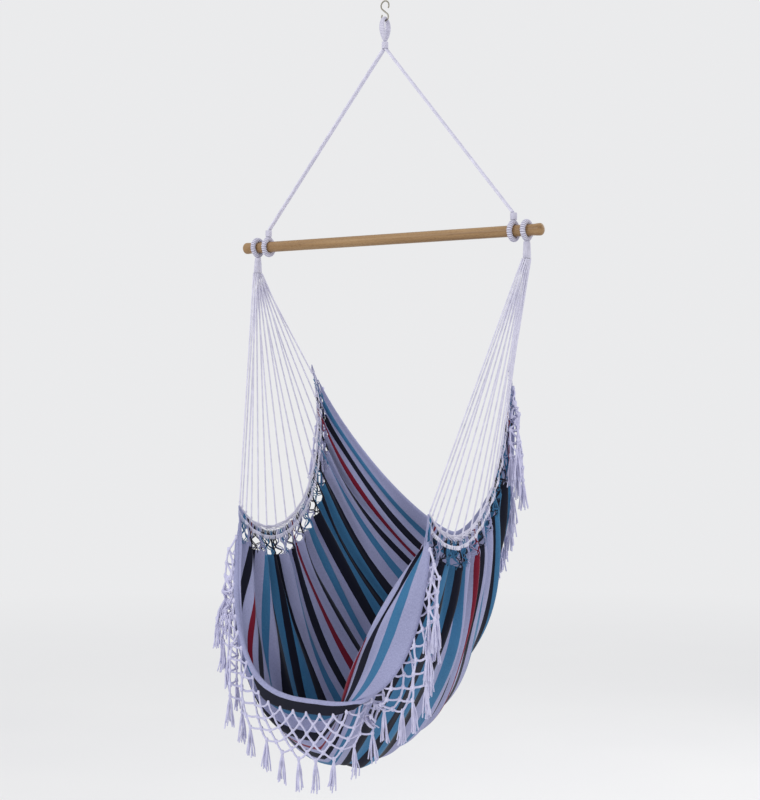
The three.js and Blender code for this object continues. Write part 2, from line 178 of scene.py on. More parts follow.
class Mesher:
    """Collects tubes, rings and sheets, then makes one object of them."""

    def __init__(self):
        self.points = []
        self.faces = []
        self.uvs = []
        self.count = 0

    def _take(self, points, uvs):
        self.points.append(points)
        self.uvs.append(uvs)
        self.count += len(points)

    def rings(self, rings, closed=False, u=0.0):
        """Joins rings of points one to the next, and caps the ends unless the row is closed.
        rings is (ring, side, 3), and u is their UV x."""
        n, sides = rings.shape[:2]
        index = self.count + np.arange(n * sides).reshape(n, sides)
        u = np.broadcast_to(u, (n, sides)).reshape(-1, 1)
        self._take(rings.reshape(-1, 3), np.repeat(u, 2, axis=1))
        self.faces += grid_faces(np.pad(index, ((0, int(closed)), (0, 1)), "wrap"))
        if not closed:
            self.faces += [index[0].tolist(), index[-1, ::-1].tolist()]

    def tube(self, path, radius, sides=6, u=0.0):
        """A tube with round ends."""
        path, radius = with_round_ends(path, np.full(len(path), radius))
        sections = round_sections(path, unit(np.gradient(path, axis=0)), sides)
        self.rings(path[:, None] + sections * radius[:, None, None], u=u)

    def loop(self, line, radius, sides=6):
        """A tube along a closed line."""
        sections = round_sections(line, ring_tangents(line), sides)
        self.rings(line[:, None] + sections * radius, closed=True)

    def sheet(self, middle, lift, uvs):
        """A sheet with a closed edge: its two faces lie one lift off the middle's points."""
        n, m = middle.shape[:2]
        index = self.count + np.arange(n * m).reshape(n, m)
        self._take((middle + lift).reshape(-1, 3), uvs.reshape(-1, 2))
        self._take((middle - lift).reshape(-1, 3), uvs.reshape(-1, 2))
        self.faces += grid_faces(index) + grid_faces(index + n * m, (0, 3, 2, 1))
        edge = np.concatenate([index[0, :-1], index[:-1, -1], index[-1, :0:-1], index[:0:-1, 0]])
        for a, b in zip(edge.tolist(), np.roll(edge, -1).tolist()):
            self.faces.append((a, b, b + n * m, a + n * m))

    def build(self, name, material):
        points = np.concatenate(self.points)
        mesh = bpy.data.meshes.new(name)
        mesh.from_pydata(points.tolist(), [], self.faces)
        uvs = np.concatenate(self.uvs)
        layer = mesh.uv_layers.new(name=UV_LAYER)
        corner = np.zeros(len(mesh.loops), np.int32)
        mesh.loops.foreach_get("vertex_index", corner)
        layer.data.foreach_set("uv", uvs[corner].astype(np.float32).ravel())
        mesh.polygons.foreach_set("use_smooth", [True] * len(mesh.polygons))
        mesh.update()
        shape = bmesh.new()
        shape.from_mesh(mesh)
        bmesh.ops.recalc_face_normals(shape, faces=shape.faces)
        shape.to_mesh(mesh)
        shape.free()
        mesh.materials.append(material)
        piece = bpy.data.objects.new(name, mesh)
        bpy.context.scene.collection.objects.link(piece)
        return piece


# ---- materials ----

def new_material(name, **looks):
    """A material, its node tree and its shader, with the looks set on the shader's own inputs."""
    material = bpy.data.materials.new(name)
    material.use_nodes = True
    shader = material.node_tree.nodes["Principled BSDF"]
    for look, value in looks.items():
        shader.inputs[look.replace("_", " ")].default_value = value
    return material, material.node_tree, shader


def node(tree, kind, inputs=None, **settings):
    made = tree.nodes.new(kind)
    for key, value in settings.items():
        setattr(made, key, value)
    for key, value in (inputs or {}).items():
        if isinstance(value, bpy.types.NodeSocket):
            tree.links.new(value, made.inputs[key])
        else:
            made.inputs[key].default_value = value
    return made


def math_node(tree, operation, a, b=0.0):
    return node(tree, "ShaderNodeMath", {0: a, 1: b}, operation=operation).outputs[0]


def weighted(tree, a, weight, b):
    """a times the weight, with b for the rest."""
    return math_node(tree, "ADD", math_node(tree, "MULTIPLY", a, weight),
                     math_node(tree, "MULTIPLY", b, 1 - weight))


def map_range(tree, value, from_low, from_high, to_low, to_high):
    ends = {0: value, 1: from_low, 2: from_high, 3: to_low, 4: to_high}
    return node(tree, "ShaderNodeMapRange", ends).outputs[0]


def mix_colour(tree, share, a, b, blend="MIX"):
    made = node(tree, "ShaderNodeMix", {0: share, 6: a, 7: b}, data_type="RGBA", blend_type=blend)
    return made.outputs[2]


def noise(tree, vector, scale, detail, roughness=0.55):
    made = node(tree, "ShaderNodeTexNoise",
                {"Vector": vector, "Scale": scale, "Detail": detail, "Roughness": roughness})
    return made.outputs[0]


def ramp(tree, factor, stops, interpolation="LINEAR"):
    made = node(tree, "ShaderNodeValToRGB", {0: factor})
    made.color_ramp.interpolation = interpolation
    elements = made.color_ramp.elements
    while len(elements) < len(stops):
        elements.new(1.0)
    for element, (position, colour) in zip(elements, stops):
        element.position = position
        element.color = (*colour, 1.0)
    return made.outputs[0]


def object_coords(tree):
    return node(tree, "ShaderNodeTexCoord").outputs["Object"]


def cloth_coords(tree):
    """The pieces' own UV layer, split into its x and y."""
    uv = node(tree, "ShaderNodeUVMap", uv_map=UV_LAYER).outputs[0]
    return node(tree, "ShaderNodeSeparateXYZ", {0: uv}).outputs


def stretched_noise(tree, vector, scale, detail, roughness=0.55):
    """Noise of a different scale along each axis."""
    place = node(tree, "ShaderNodeMapping", {"Vector": vector, "Scale": scale}).outputs[0]
    return noise(tree, place, 1.0, detail, roughness)


def colour_and_bump(tree, shader, colour, height, strength, distance):
    tree.links.new(colour, shader.inputs["Base Color"])
    made = node(tree, "ShaderNodeBump",
                {"Height": height, "Strength": strength, "Distance": distance})
    tree.links.new(made.outputs[0], shader.inputs["Normal"])


COTTON_LIGHT = (0.76, 0.745, 0.875)
COTTON_DARK = (0.56, 0.55, 0.675)


def cotton_material(name, light=COTTON_LIGHT, dark=COTTON_DARK, fibre=900.0, groove=None):
    """Undyed cotton cord: matt, fuzzy, with faint grey mottling and fibre bump. With a groove
    shade colour, UV x mixes that painted shade into the twine, from 0 on its turns to 1 in
    the grooves between them."""
    material, tree, shader = new_material(name, Roughness=0.92, Sheen_Weight=0.25,
                                          Sheen_Roughness=0.6, Specular_IOR_Level=0.2)
    coords = object_coords(tree)
    mottle = noise(tree, coords, 60.0, 4.0)
    fibres = noise(tree, coords, fibre, 2.0, 0.7)
    colour = ramp(tree, weighted(tree, mottle, 0.6, fibres), [(0.30, dark), (0.62, light)])
    if groove:
        # painted shade: UV x darkens the twine towards the groove shade colour between its turns
        colour = mix_colour(tree, cloth_coords(tree)[0], colour, (*groove, 1.0))
    colour_and_bump(tree, shader, colour, fibres, 0.5, 0.0006)
    return material


# The two colours that each kind of yarn is heathered with, dark and light.
GREY = (0.27, 0.28, 0.455), (0.43, 0.445, 0.68)
BLUE = (0.031, 0.140, 0.295), (0.067, 0.215, 0.39)
NAVY = (0.0065, 0.0075, 0.018), (0.010, 0.011, 0.024)
RED = (0.165, 0.005, 0.020), (0.20, 0.012, 0.034)

# One repeat of the stripes, in the order that they come from the front rim, with their widths in
# millimetres. The cloth has two repeats and the first eleven stripes of a third.
STRIPES = [(GREY, 34), (BLUE, 27), (GREY, 27), (NAVY, 23), (GREY, 25), (RED, 19),
           (GREY, 25), (NAVY, 23), (GREY, 27), (BLUE, 27), (GREY, 34),
           (NAVY, 36), (BLUE, 36), (NAVY, 32), (BLUE, 36), (NAVY, 36)]
REPEAT_MM = sum(width for _, width in STRIPES)
CLOTH_STRIPES_MM = 2 * REPEAT_MM + sum(width for _, width in STRIPES[:11])


def striped_material():
    """Hand-woven striped cotton. UV x counts repeats of the stripes across the cloth, and UV y is
    the distance along the warp in metres."""
    material, tree, shader = new_material("striped_cotton", Roughness=0.94, Sheen_Weight=0.12,
                                          Sheen_Roughness=0.5, Specular_IOR_Level=0.15)
    across, along, _ = cloth_coords(tree)
    threads = node(tree, "ShaderNodeCombineXYZ",
                   {0: math_node(tree, "MULTIPLY", across, REPEAT_MM / 1000),
                    1: along, 2: 0.0}).outputs[0]
    # the edge threads of a stripe wander by a fraction of a millimetre
    wander = math_node(tree, "SUBTRACT", stretched_noise(tree, threads, (200, 30, 1), 2.0), 0.5)
    shift = math_node(tree, "MULTIPLY", wander, 1.6 / REPEAT_MM)
    place = math_node(tree, "FRACT", math_node(tree, "ADD", across, shift))
    dark_stops = []
    light_stops = []
    start = 0.0
    for (dark, light), width in STRIPES:
        dark_stops.append((start / REPEAT_MM, dark))
        light_stops.append((start / REPEAT_MM, light))
        start += width
    # heathered yarn: short slubs along the warp, a fainter rib along the weft
    slubs = stretched_noise(tree, threads, (1400, 140, 1), 3.0, 0.7)
    ribs = stretched_noise(tree, threads, (160, 1100, 1), 2.0, 0.6)
    speck = weighted(tree, slubs, 0.65, ribs)
    woven = mix_colour(tree, map_range(tree, speck, 0.36, 0.66, 0.0, 1.0),
                       ramp(tree, place, dark_stops, "CONSTANT"),
                       ramp(tree, place, light_stops, "CONSTANT"))
    fade = stretched_noise(tree, threads, (9, 5, 1), 2.0)
    washed = ramp(tree, fade, [(0.3, (0.86, 0.86, 0.86)), (0.7, (1.0, 1.0, 1.0))])
    colour = mix_colour(tree, 1.0, woven, washed, "MULTIPLY")
    colour_and_bump(tree, shader, colour, speck, 0.45, 0.0008)
    return material


def beech_material():
    """Oiled beech: straight grain along X and short dark flecks."""
    material, tree, shader = new_material("oiled_beech", Specular_IOR_Level=0.35)
    coords = object_coords(tree)
    grain = stretched_noise(tree, coords, (2.2, 70, 70), 6.0, 0.6)
    flecks = stretched_noise(tree, coords, (110, 900, 900), 1.0)
    base = ramp(tree, grain, [(0.28, (0.215, 0.118, 0.048)), (0.5, (0.325, 0.195, 0.09)),
                              (0.72, (0.42, 0.27, 0.135))])
    marks = ramp(tree, flecks, [(0.30, (0.62, 0.55, 0.5)), (0.42, (1.0, 1.0, 1.0))])
    colour = mix_colour(tree, 0.7, base, marks, "MULTIPLY")
    tree.links.new(map_range(tree, grain, 0.3, 0.7, 0.36, 0.55), shader.inputs["Roughness"])
    colour_and_bump(tree, shader, colour, grain, 0.25, 0.0006)
    return material


def steel_material():
    """Zinc-plated wire, a little dull and spotted."""
    material, tree, shader = new_material("zinc_steel", Metallic=1.0)
    spots = noise(tree, object_coords(tree), 420.0, 4.0)
    colour = ramp(tree, spots, [(0.35, (0.17, 0.16, 0.13)), (0.65, (0.36, 0.34, 0.29))])
    tree.links.new(map_range(tree, spots, 0.3, 0.7, 0.28, 0.46), shader.inputs["Roughness"])
    colour_and_bump(tree, shader, colour, spots, 0.12, 0.0004)
    return material


BACKDROP = (0.94, 0.943, 0.955)
BACKDROP_STRENGTH = 0.88


def floor_material():
    """A pale floor that takes the colour of the backdrop far off."""
    material, tree, shader = new_material("pale_floor", Roughness=0.95, Specular_IOR_Level=0.1)
    coords = object_coords(tree)
    colour = ramp(tree, noise(tree, coords, 0.7, 2.0),
                  [(0.3, (0.84, 0.84, 0.85)), (0.7, (0.87, 0.87, 0.87))])
    tree.links.new(colour, shader.inputs["Base Color"])
    away = node(tree, "ShaderNodeVectorMath", {0: coords}, operation="LENGTH").outputs["Value"]
    far = map_range(tree, away, 1.5, 9.0, 0.0, 1.0)
    glow = node(tree, "ShaderNodeEmission",
                {"Color": (*BACKDROP, 1.0), "Strength": BACKDROP_STRENGTH}).outputs[0]
    mixed = node(tree, "ShaderNodeMixShader", {0: far, 1: shader.outputs[0], 2: glow}).outputs[0]
    output = next(made for made in tree.nodes if made.type == "OUTPUT_MATERIAL")
    tree.links.new(mixed, output.inputs["Surface"])
    return material


NET_LIGHT = (0.67, 0.66, 0.87)
NET_DARK = (0.46, 0.455, 0.64)
# painted shade for the grooves between the turns of bound twine, mixed in by UV x
GROOVE_SHADE_COLOUR = (0.13, 0.12, 0.19)

COTTON = cotton_material("white_cotton")
NET_COTTON = cotton_material("net_cotton", NET_LIGHT, NET_DARK, 1100.0)
# bound twine, with painted shade in the grooves between its turns
BOUND_COTTON = cotton_material("bound_cotton", groove=GROOVE_SHADE_COLOUR)
CLOTH = striped_material()
BEECH = beech_material()
STEEL = steel_material()


# ---- camera, floor and light ----

AZIMUTH = math.radians(35)
CAMERA_DISTANCE = 4.70
CAMERA_Z = BAR_Z - 0.4424
CAMERA_LEFT = 0.0138
LENS_MM = 80.8
SENSOR_MM = 36.0
FLOOR_Z = -2.62
FLOOR_R = 60
# name, place, height that it is aimed at, size and power
LIGHTS = [("key", (-1.6, -3.4, 0.9), -1.4, 1.8, 38),
          ("fill", (3.6, -1.6, -0.2), -1.3, 2.6, 16),
          ("back", (0.8, 3.4, 0.6), -1.2, 2.4, 34)]


def soft_light(name, place, target_z, size, power):
    data = bpy.data.lights.new(name, "AREA")
    data.shape = "DISK"
    data.size = size
    data.energy = power
    light = bpy.data.objects.new(name, data)
    light.location = place
    direction = Vector((0, 0, target_z)) - Vector(place)
    light.rotation_euler = direction.to_track_quat("-Z", "Y").to_euler()
    bpy.context.scene.collection.objects.link(light)


def studio():
    camera = bpy.data.objects.new("Camera", bpy.data.cameras.new("Camera"))
    camera.data.sensor_fit = "HORIZONTAL"
    camera.data.sensor_width = SENSOR_MM
    camera.data.lens = LENS_MM
    camera.location = (
        CAMERA_DISTANCE * math.sin(AZIMUTH) - CAMERA_LEFT * math.cos(AZIMUTH),
        -CAMERA_DISTANCE * math.cos(AZIMUTH) - CAMERA_LEFT * math.sin(AZIMUTH),
        CAMERA_Z,
    )
    camera.rotation_euler = (math.pi / 2, 0, AZIMUTH)
    bpy.context.scene.collection.objects.link(camera)
    bpy.context.scene.camera = camera

    bpy.ops.mesh.primitive_circle_add(vertices=96, radius=FLOOR_R, fill_type="NGON",
                                      location=(0, 0, FLOOR_Z))
    floor = bpy.context.object
    floor.name = "studio_floor"
    floor.data.materials.append(floor_material())

    world = bpy.data.worlds.new("Studio")
    world.use_nodes = True
    background = world.node_tree.nodes["Background"]
    background.inputs[0].default_value = (*BACKDROP, 1)
    background.inputs[1].default_value = BACKDROP_STRENGTH
    bpy.context.scene.world = world
    bpy.context.scene.view_settings.view_transform = "Standard"

    for light in LIGHTS:
        soft_light(*light)


studio()


# ---- the seat's surface: the same formula as the CAD solid ----

def bezier_line(corners):
    p = np.array(corners, float)
    t = np.linspace(0, 1, 400)[:, None]
    return ((1 - t) ** 3 * p[0] + 3 * (1 - t) ** 2 * t * p[1]
            + 3 * (1 - t) * t ** 2 * p[2] + t ** 3 * p[3])


END_LINE = bezier_line(STRING_END_LINE)
CENTRE_LINE = bezier_line(SEAT_CENTRE_LINE)
END_LENGTH = run_lengths(END_LINE)[-1]
CENTRE_LENGTH = run_lengths(CENTRE_LINE)[-1]


def curve_power(squareness, t):
    """The power that turns a half circle into a hanging curve of the squareness at t."""
    powers = 2 / np.array(squareness)
    return np.interp(t, np.linspace(0, 1, len(powers)), powers)


def warp_thread(t):
    """The curve of one warp thread, from the left string-end line to the right one."""
    end = at_lengths(END_LINE, t ** STRING_CROWDING * END_LENGTH)
    centre = at_lengths(CENTRE_LINE, t * CENTRE_LENGTH)
    swell = WING_SWELL * math.sin(math.pi * min(t / WING_SHARE, 1)) ** 2
    turn = np.linspace(-np.pi / 2, np.pi / 2, 320)
    power = np.where(turn < 0, curve_power(SQUARENESS_LEFT, t), curve_power(SQUARENESS_RIGHT, t))
    out = np.sign(turn) * np.abs(np.sin(turn)) ** power
    drop = np.maximum(np.cos(turn), 0) ** power
    forward = swell * np.where(turn < 0, LEFT_SWELL, 1) * np.sin(np.pi * drop) ** 2
    return np.stack([
        end[0] * out + centre[0] * drop ** np.where(turn < 0, 3, 1),
        end[1] + (centre[1] - end[1]) * drop - forward,
        end[2] + (centre[2] - end[2]) * drop + BAR_Z,
    ], axis=-1)


def on_end_line(side, share):
    point = at_lengths(END_LINE, share * END_LENGTH)
    return np.array([side * point[0], point[1], point[2] + BAR_Z])


CLOTH_COLUMNS = 240      # across the cloth, front rim to back rim
CLOTH_ROWS = 150         # along the warp, between the two openworks
OPEN_ROWS = 14           # along the warp, in each openwork
HEM_COLUMNS = 14
HEM_WIDTH = 0.056
HEM_ROLL_R = 0.0065
HEM_END_ROWS = 9         # along which a hem narrows at its ends
CLOTH_HALF = 0.0007
ACROSS = np.linspace(0, 1, CLOTH_COLUMNS + 1)


def spread_rows():
    """Where the rows cross a warp thread, as shares of its whole length and of the length of an
    openwork, which sum to the place. So the openworks keep their own length."""
    openwork = np.linspace(0, 1, OPEN_ROWS + 1)[:-1]
    woven = np.linspace(0, 1, CLOTH_ROWS + 1)
    whole = np.concatenate([0 * openwork, woven, 0 * openwork + 1])
    own = np.concatenate([openwork, 1 - 2 * woven, -openwork[::-1]])
    return whole, own


WHOLE_SHARE, OPENWORK_SHARE = spread_rows()
ALONG = np.linspace(0, 1, len(WHOLE_SHARE))
WOVEN = slice(OPEN_ROWS, OPEN_ROWS + CLOTH_ROWS + 1)


def base_surface():
    """The seat's points, column by row, and each point's distance from its nearer string end."""
    columns = []
    reaches = []
    for t in ACROSS:
        thread = warp_thread(t)
        length = run_lengths(thread)[-1]
        wanted = WHOLE_SHARE * length + OPENWORK_SHARE * OPENWORK
        columns.append(at_lengths(thread, wanted))
        reaches.append(np.minimum(wanted, length - wanted))
    return np.array(columns), np.array(reaches)


def outward_normals(points):
    across = np.gradient(points, axis=0)
    along = np.gradient(points, axis=1)
    return unit(np.cross(across, along))


def waves(a, b, terms):
    """A sum of plane waves with fixed phases, from (height, frequency a, frequency b, phase)."""
    total = 0.0
    for height, fa, fb, phase in terms:
        total = total + height * np.sin(2 * np.pi * (fa * a + fb * b) + phase)
    return total


# Height in metres, waves across the cloth, waves along it, and phase.
CREASES = [(0.0036, 8.3, 0.7, 0.9), (0.0030, 13.1, -1.1, 2.7), (0.0016, 21.7, 1.6, 4.4),
           (0.0030, 5.2, 2.3, 1.3), (0.0014, 17.3, -2.9, 0.2), (0.0020, 3.1, -3.7, 5.1)]
SLIPS = [(0.0070, 3.1, 1.3, 0.3), (0.0050, 6.7, -1.7, 1.9), (0.0020, 12.3, 3.1, 4.0)]
PLEAT_DEPTH = 0.017      # the most that a pleat stands out
PLEAT_FADE = 0.42        # how far down the cloth a pleat opens out


def pleated(points, reach):
    """Each string gathers the cloth into a pleat, as deep as the spare width needs, which opens
    out towards the middle of the seat. Slack cloth also has long shallow creases, and slips
    sideways a little, so that no stripe runs quite true."""
    t = ACROSS[:, None]
    v = ALONG[None, :]
    normals = outward_normals(points)
    spacing = np.linalg.norm(np.gradient(points, axis=0), axis=2) * CLOTH_COLUMNS
    spare = np.maximum(CENTRE_LENGTH * 1.03 / np.maximum(spacing, 1e-4) - 1, 0)
    share = t ** STRING_CROWDING
    turns = STRINGS * share + 0.12 * np.sin(9 * t + 2.0)
    rate = STRINGS * STRING_CROWDING * np.maximum(t, 0.004) ** (STRING_CROWDING - 1)
    pleat_length = spacing / rate
    depth = pleat_length / np.pi * np.sqrt(spare)
    depth = np.minimum(depth, np.minimum(0.42 * pleat_length, PLEAT_DEPTH))
    fade = np.exp(-np.maximum(reach - OPENWORK, 0) / PLEAT_FADE) * smoothstep(reach / OPENWORK)
    uneven = 1 + 0.45 * waves(t, v, [(0.6, 3.7, 0.6, 0.4), (0.4, 7.3, -0.8, 2.1)])
    pleats = depth * fade * uneven * np.cos(2 * np.pi * turns + np.pi)
    creases = waves(t, v, CREASES) * smoothstep(reach / 0.12)
    edge = smoothstep(np.minimum(t, 1 - t) / 0.07)
    moved = points + normals * ((pleats + creases) * (0.25 + 0.75 * edge))[..., None]
    sideways = waves(t, v, SLIPS) * edge * smoothstep(reach / 0.2)
    return moved + unit(np.gradient(points, axis=0)) * sideways[..., None]


def hem_columns(points, base, front):
    """Columns beyond a rim: the cloth rolls over outwards there and its navy edge hangs down
    outside. The hem is narrower where the rim is steep, and narrows at its ends. Returned from
    the rim outwards, with each point's distance from the rim in metres."""
    rim = points[0] if front else points[-1]
    smooth_rim = base[0] if front else base[-1]
    inner = base[5] if front else base[-6]
    inward = unit(inner - smooth_rim)
    along = unit(np.gradient(smooth_rim, axis=0))
    normal = unit(np.cross(inward, along)) * (1.0 if front else -1.0)
    upright = np.abs(along[:, 2:3])
    roll = np.pi * (1.03 + 0.10 * upright ** 2)
    rows = np.arange(len(rim))[:, None] - OPEN_ROWS
    from_end = np.minimum(rows, CLOTH_ROWS - rows)
    width = (HEM_WIDTH * (1 - 0.60 * smoothstep((upright - 0.35) / 0.5))
             * (0.25 + 0.75 * smoothstep(from_end / HEM_END_ROWS)))
    columns = []
    reaches = []
    for k in range(1, HEM_COLUMNS + 1):
        reach = width * k / HEM_COLUMNS
        reaches.append(reach[:, 0])
        turn = np.minimum(reach / HEM_ROLL_R, roll)
        rolled = (-inward * np.sin(turn) + normal * (1 - np.cos(turn))) * HEM_ROLL_R
        left = np.maximum(reach - roll * HEM_ROLL_R, 0)
        heading = unit(-inward * np.cos(roll) + normal * (np.sin(roll) + 0.10)
                       + DOWN * 0.35 * (1 - upright))
        columns.append(rim + rolled + heading * left)
    return np.stack(columns), np.stack(reaches)


base_points, base_reach = base_surface()
seat_points = pleated(base_points, base_reach)
front_hem, front_reach = hem_columns(seat_points, base_points, True)
back_hem, back_reach = hem_columns(seat_points, base_points, False)
all_columns = np.concatenate([front_hem[::-1], seat_points, back_hem])

# Where each column lies in the stripes: the outermost grey stripes are wide and roll over the
# rims, and a navy edge follows them outside.
ROLL_MM = 26.0
INNER_MM = 42.0
LEFT_SLIP = 0.82
RIGHT_SLIP = 0.36
SLIP_SHARE = 0.42        # of the warp's length, from each end
CLOTH_MM = CENTRE_LENGTH * 1000


def stripe_place(behind_rim_mm):
    """UV x of a point, from its distance behind the front rim in millimetres."""
    known = [-HEM_WIDTH * 1000, -ROLL_MM, 0, INNER_MM,
             CLOTH_MM - INNER_MM, CLOTH_MM, CLOTH_MM + ROLL_MM, CLOTH_MM + HEM_WIDTH * 1000]
    stripe = [-30, 0, 10, 34,
              CLOTH_STRIPES_MM - 34, CLOTH_STRIPES_MM - 10, CLOTH_STRIPES_MM,
              CLOTH_STRIPES_MM + 30]
    return np.interp(behind_rim_mm, known, stripe) / REPEAT_MM


def gathered_place():
    """How far behind the front rim each point's warp thread was woven, in millimetres. At the
    string ends the front stripes slip apart, because fewer strings hold them."""
    t = ACROSS[:, None]
    v = ALONG[None, :]
    slip = (LEFT_SLIP * (1 - smoothstep(v / SLIP_SHARE))
            + RIGHT_SLIP * (1 - smoothstep((1 - v) / SLIP_SHARE)))
    return CLOTH_MM * t * (1 - slip * (1 - smoothstep(t / 0.45)))


WOVEN_LENGTH = 1.30      # UV y at the right end of the woven cloth, in metres
across_mm = gathered_place()
place_mm = np.concatenate([-1000 * front_reach[::-1], across_mm, CLOTH_MM + 1000 * back_reach])


def seat_cloth():
    woven = all_columns[:, WOVEN]
    normals = outward_normals(woven)
    v = np.linspace(0, WOVEN_LENGTH, woven.shape[1])
    uvs = np.stack(np.broadcast_arrays(stripe_place(place_mm[:, WOVEN]), v[None]), axis=-1)
    mesher = Mesher()
    mesher.sheet(woven, normals * CLOTH_HALF, uvs)
    cloth = mesher.build("striped_seat", CLOTH)
    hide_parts("seat_cloth")
    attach(cloth, "seat")
    return cloth


cloth = seat_cloth()


# ---- openwork: bare warp threads between the string ends and the woven cloth ----

YARNS = 192
YARN_R = 0.0015
ZIGZAG = 0.017            # along a yarn, from one swing of its zigzag to the next
BUNCH = 6                 # yarns that are drawn together between the band and the cloth
BUNCH_ROWS = ((0.042, 0), (0.060, BUNCH // 2))    # distance from the string ends, and offset
BAND = (0.013, 0.024)     # the narrow woven band, measured from the string-end line
BAND_HALF = 0.0021
KNOT_CORD_R = 0.0016
FAN_THREADS = 7           # that spread from a string's end
FAN_THREAD_R = 0.00095


def openwork(side, side_name):
    """Threads that zigzag and bunch up between the string ends and the cloth, in its colours.
    Returns the surface that they lie in, column by row from the string ends, and its normals."""
    rows = slice(0, OPEN_ROWS + 2) if side < 0 else slice(-1, -OPEN_ROWS - 3, -1)
    strip = all_columns[HEM_COLUMNS:-HEM_COLUMNS, rows]
    columns = strip.shape[0]
    end_mm = across_mm[:, 0 if side < 0 else -1]
    normals = outward_normals(all_columns)[HEM_COLUMNS:-HEM_COLUMNS, rows]
    mesher = Mesher()
    for k in range(YARNS):
        place = (k + 0.5) / YARNS
        steps = np.linspace(0, strip.shape[1] - 1, 26)
        reach = steps / OPEN_ROWS * OPENWORK
        swing = rng.uniform(0.2, 0.9) / YARNS * np.sin(reach / ZIGZAG * np.pi + rng.uniform(0, 6))
        for height, first in BUNCH_ROWS:
            middle = ((k + first) // BUNCH * BUNCH + BUNCH / 2 - first) / YARNS
            gather = rng.uniform(0.6, 0.97) * np.exp(-((reach - height) / 0.0065) ** 2)
            swing = swing + (middle - place) * gather
        swing = swing * smoothstep(reach / 0.02) * smoothstep((OPENWORK + 0.004 - reach) / 0.009)
        column = np.clip((place + swing) * (columns - 1), 0, columns - 1)
        low = np.minimum(column.astype(int), columns - 2)
        row = np.minimum(steps.astype(int), strip.shape[1] - 2)
        a, b = (column - low)[:, None], (steps - row)[:, None]
        path = ((strip[low, row] * (1 - a) + strip[low + 1, row] * a) * (1 - b)
                + (strip[low, row + 1] * (1 - a) + strip[low + 1, row + 1] * a) * b)
        lift = normals[low, row] * (0.0011 * (-1) ** k * np.cos(reach / 0.021 * np.pi))[:, None]
        u = stripe_place(end_mm[min(int(place * columns), columns - 1)])
        mesher.tube(path + lift, YARN_R * (0.85 + 0.3 * rng.random()), sides=5, u=u)
    yarns = mesher.build(f"openwork_threads_{side_name}", CLOTH)
    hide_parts(f"openwork_{side_name}")
    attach(yarns, "seat")
    return strip, normals


def woven_band(side_name, strip, normals):
    """A narrow ribbed white band, woven across the bare threads."""
    steps = np.linspace(BAND[0], BAND[1], 7) / OPENWORK * OPEN_ROWS
    row = steps.astype(int)
    b = (steps - row)[None, :, None]
    middle = strip[:, row] * (1 - b) + strip[:, row + 1] * b
    lean = normals[:, row]
    ribs = 0.0004 * np.sin(np.arange(middle.shape[0]) * 2.2)[:, None, None]
    mesher = Mesher()
    mesher.sheet(middle, lean * (BAND_HALF + ribs), np.zeros((*middle.shape[:2], 2)))
    band = mesher.build(f"woven_band_{side_name}", COTTON)
    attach(band, "seat")


def string_ends(side, side_name, strip):
    """Each string ends in a small knot, and its threads spread from there into the band."""
    mesher = Mesher()
    columns = strip.shape[0]
    for k in range(STRINGS):
        start, end = string_run(side, k)
        direction = unit(end - start)
        tie = end + direction * 0.003
        turn = full_turn(10)
        side_a = unit(np.cross(direction, [0, 1, 0]))
        side_b = np.cross(direction, side_a)
        for lift, size in ((-0.002, 0.0030), (0.0015, 0.0034)):
            ring = (tie + direction * lift + (side_a * np.cos(turn)[:, None]
                    + side_b * np.sin(turn)[:, None]) * size * 0.55)
            mesher.loop(ring, KNOT_CORD_R)
        for spread in np.linspace(0.06, 0.94, FAN_THREADS):
            share = (k + spread) / STRINGS
            place = share ** (1 / STRING_CROWDING) * (columns - 1)
            low = min(int(place), columns - 2)
            blend = place - low
            fan = [strip[low, r] * (1 - blend) + strip[low + 1, r] * blend for r in (0, 2, 5)]
            bow = rng.normal(0, 0.0012, 3)
            path = smooth_curve([tie, tie + direction * 0.006 + bow * 0.5, fan[0] + bow,
                                 fan[1], fan[2]], 12)
            mesher.tube(path, FAN_THREAD_R, sides=5)
    ends = mesher.build(f"string_ends_{side_name}", COTTON)
    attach(ends, "seat")


# ---- strings and leg cords ----

LOOP_REACH = LOOP_R + LOOP_ROPE_R + GAP
SEAT_WHIP_HEIGHT = 0.043
YOKE_LOOP_WHIP_HEIGHT = 0.018
STRING_ROW_X = 0.0052      # between the three rows in a whipping
STRING_STEP_Y = 0.00175    # between strings that follow each other
CORD_STEP = 0.0018         # between the rings of a cord's skin
STRING_LAY = (0.011, 3, 0.12)      # pitch of the twist, strands, and depth of the grooves
LEG_LAY = (0.030, 5, 0.04)
LEG_CORD_TOP_X = 0.0046
LEG_CORD_GAP = 0.0024      # between the middle of a cord's end and the whipping


def string_run(side, index):
    """Where a string starts at the foot of the seat loop's whipping, and where it ends."""
    row = index % 3 - 1
    start = np.array([side * SEAT_LOOP_X + row * STRING_ROW_X,
                      (index - (STRINGS - 1) / 2) * STRING_STEP_Y,
                      BAR_Z - LOOP_REACH - SEAT_WHIP_HEIGHT])
    end = on_end_line(side, ((index + 0.5) / STRINGS) ** STRING_CROWDING)
    direction = unit(end - start)
    return start + direction * 0.0016, end - direction * STRING_END_GAP


def rope_piece(mesher, name, material, node_name, body):
    """Makes a piece of white rope, which replaces a node and rides on a body."""
    piece = mesher.build(name, material)
    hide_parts(node_name)
    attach(piece, body)
    return piece


